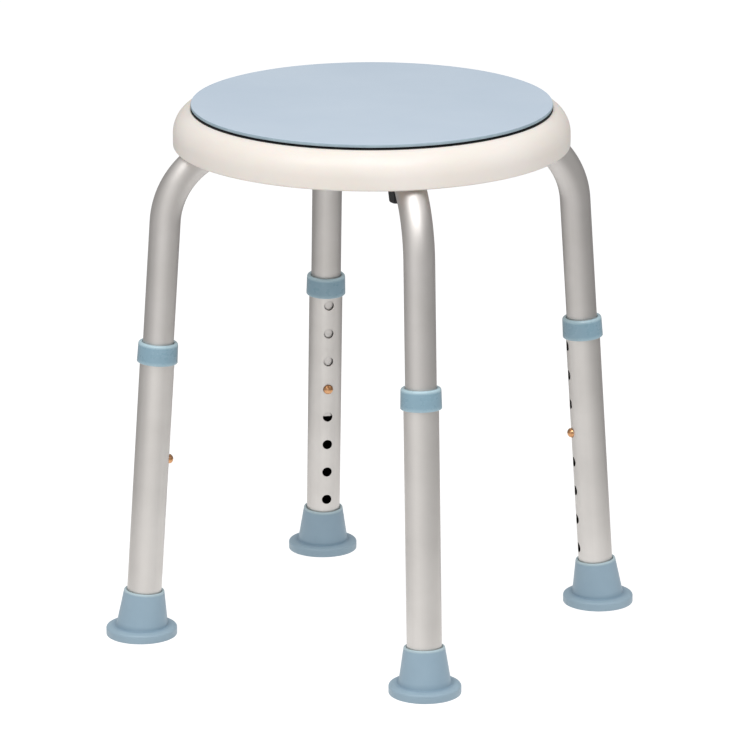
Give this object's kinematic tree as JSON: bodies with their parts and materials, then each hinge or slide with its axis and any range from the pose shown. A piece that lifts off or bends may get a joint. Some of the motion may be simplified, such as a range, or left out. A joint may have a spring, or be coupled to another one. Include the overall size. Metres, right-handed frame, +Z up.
{
  "type": "shower stool",
  "caption": "Round bathroom stool with a padded turning seat, splayed telescopic tube legs set by snap buttons, and wide rubber feet.",
  "frame": {"origin": "point on the floor under the middle of the seat, at the centre of the four feet", "axes": "+Z up, the axis that the seat turns about; +X toward the right leg; +Y toward the back leg"},
  "size_m": [0.4516, 0.4516, 0.4438],
  "materials": {
    "seat_plastic": "satin moulded polyethylene, warm white",
    "plate_plastic": "fine matt moulded, black",
    "pad_foam": "soft closed-cell foam with a fine skin, pale blue grey",
    "tube_aluminium": "drawn, satin anodised",
    "collar_plastic": "satin moulded nylon, blue grey",
    "foot_rubber": "matt moulded, blue grey",
    "button_brass": "turned, lightly polished",
    "spring_steel": "rolled strip",
    "zinc_steel": "zinc plated",
    "glide_plastic": "moulded acetal, natural white",
    "black_plastic": "moulded nylon, black"
  },
  "bodies": {
    "frame": {"seat_shell": "seat_plastic", "glide_ring": "glide_plastic", "pivot_bush": "glide_plastic", "leg_bolts": "zinc_steel", "tube_plugs": "black_plastic", "leg_upper_front": "tube_aluminium", "leg_upper_right": "tube_aluminium", "leg_upper_back": "tube_aluminium", "leg_upper_left": "tube_aluminium", "spring_clip_front": "spring_steel", "spring_clip_right": "spring_steel", "spring_clip_back": "spring_steel", "spring_clip_left": "spring_steel"},
    "seat_top": {"swivel_plate": "plate_plastic", "seat_pad": "pad_foam", "pivot_bolt": "zinc_steel", "pivot_washer": "zinc_steel", "pivot_nut": "zinc_steel"},
    "leg_front": {"leg_lower_front": "tube_aluminium", "collar_front": "collar_plastic", "foot_front": "foot_rubber", "foot_disc_front": "zinc_steel"},
    "button_front": {"snap_button_front": "button_brass"},
    "washer_front": {"saddle_washer_front": "black_plastic"},
    "knob_front": {"hand_knob_front": "black_plastic"},
    "leg_right": {"leg_lower_right": "tube_aluminium", "collar_right": "collar_plastic", "foot_right": "foot_rubber", "foot_disc_right": "zinc_steel"},
    "button_right": {"snap_button_right": "button_brass"},
    "washer_right": {"saddle_washer_right": "black_plastic"},
    "knob_right": {"hand_knob_right": "black_plastic"},
    "leg_back": {"leg_lower_back": "tube_aluminium", "collar_back": "collar_plastic", "foot_back": "foot_rubber", "foot_disc_back": "zinc_steel"},
    "button_back": {"snap_button_back": "button_brass"},
    "washer_back": {"saddle_washer_back": "black_plastic"},
    "knob_back": {"hand_knob_back": "black_plastic"},
    "leg_left": {"leg_lower_left": "tube_aluminium", "collar_left": "collar_plastic", "foot_left": "foot_rubber", "foot_disc_left": "zinc_steel"},
    "button_left": {"snap_button_left": "button_brass"},
    "washer_left": {"saddle_washer_left": "black_plastic"},
    "knob_left": {"hand_knob_left": "black_plastic"}
  },
  "joints": [
    {"name": "seat_swivel", "type": "hinge", "parent": "frame", "child": "seat_top", "pos_m": [0, 0, 0.40905], "axis": [0, 0, 1], "continuous": true},
    {"name": "leg_extend_front", "type": "slide", "parent": "frame", "child": "leg_front", "axis": [0, -0.0663, -0.9978], "range_m": [-0.1016, 0.0762], "deforming": ["snap_button_front", "spring_clip_front"]},
    {"name": "button_press_front", "type": "slide", "parent": "frame", "child": "button_front", "axis": [0, -0.9978, 0.0663], "range_m": [0, 0.0056], "stiffness_N_per_m": 1500, "springref_m": -0.001, "deforming": ["spring_clip_front"]},
    {"name": "knob_drop_front", "type": "slide", "parent": "frame", "child": "washer_front", "axis": [0, 0, -1], "range_m": [0, 0.002]},
    {"name": "knob_turn_front", "type": "hinge", "parent": "washer_front", "child": "knob_front", "pos_m": [0, -0.104, 0.39895], "axis": [0, 0, -1], "range_deg": [0, 720]},
    {"name": "leg_extend_right", "type": "slide", "parent": "frame", "child": "leg_right", "axis": [0.0663, 0, -0.9978], "range_m": [-0.1016, 0.0762], "deforming": ["snap_button_right", "spring_clip_right"]},
    {"name": "button_press_right", "type": "slide", "parent": "frame", "child": "button_right", "axis": [0.9978, 0, 0.0663], "range_m": [0, 0.0056], "stiffness_N_per_m": 1500, "springref_m": -0.001, "deforming": ["spring_clip_right"]},
    {"name": "knob_drop_right", "type": "slide", "parent": "frame", "child": "washer_right", "axis": [0, 0, -1], "range_m": [0, 0.002]},
    {"name": "knob_turn_right", "type": "hinge", "parent": "washer_right", "child": "knob_right", "pos_m": [0.104, 0, 0.39895], "axis": [0, 0, -1], "range_deg": [0, 720]},
    {"name": "leg_extend_back", "type": "slide", "parent": "frame", "child": "leg_back", "axis": [0, 0.0663, -0.9978], "range_m": [-0.1016, 0.0762], "deforming": ["snap_button_back", "spring_clip_back"]},
    {"name": "button_press_back", "type": "slide", "parent": "frame", "child": "button_back", "axis": [0, 0.9978, 0.0663], "range_m": [0, 0.0056], "stiffness_N_per_m": 1500, "springref_m": -0.001, "deforming": ["spring_clip_back"]},
    {"name": "knob_drop_back", "type": "slide", "parent": "frame", "child": "washer_back", "axis": [0, 0, -1], "range_m": [0, 0.002]},
    {"name": "knob_turn_back", "type": "hinge", "parent": "washer_back", "child": "knob_back", "pos_m": [0, 0.104, 0.39895], "axis": [0, 0, -1], "range_deg": [0, 720]},
    {"name": "leg_extend_left", "type": "slide", "parent": "frame", "child": "leg_left", "axis": [-0.0663, 0, -0.9978], "range_m": [-0.1016, 0.0762], "deforming": ["snap_button_left", "spring_clip_left"]},
    {"name": "button_press_left", "type": "slide", "parent": "frame", "child": "button_left", "axis": [-0.9978, 0, 0.0663], "range_m": [0, 0.0056], "stiffness_N_per_m": 1500, "springref_m": -0.001, "deforming": ["spring_clip_left"]},
    {"name": "knob_drop_left", "type": "slide", "parent": "frame", "child": "washer_left", "axis": [0, 0, -1], "range_m": [0, 0.002]},
    {"name": "knob_turn_left", "type": "hinge", "parent": "washer_left", "child": "knob_left", "pos_m": [-0.104, 0, 0.39895], "axis": [0, 0, -1], "range_deg": [0, 720]}
  ],
  "couplings": [
    {"joint": "knob_drop_front", "follows": "knob_turn_front", "m_per_rad": 0.00015915},
    {"joint": "knob_drop_right", "follows": "knob_turn_right", "m_per_rad": 0.00015915},
    {"joint": "knob_drop_back", "follows": "knob_turn_back", "m_per_rad": 0.00015915},
    {"joint": "knob_drop_left", "follows": "knob_turn_left", "m_per_rad": 0.00015915}
  ]
}
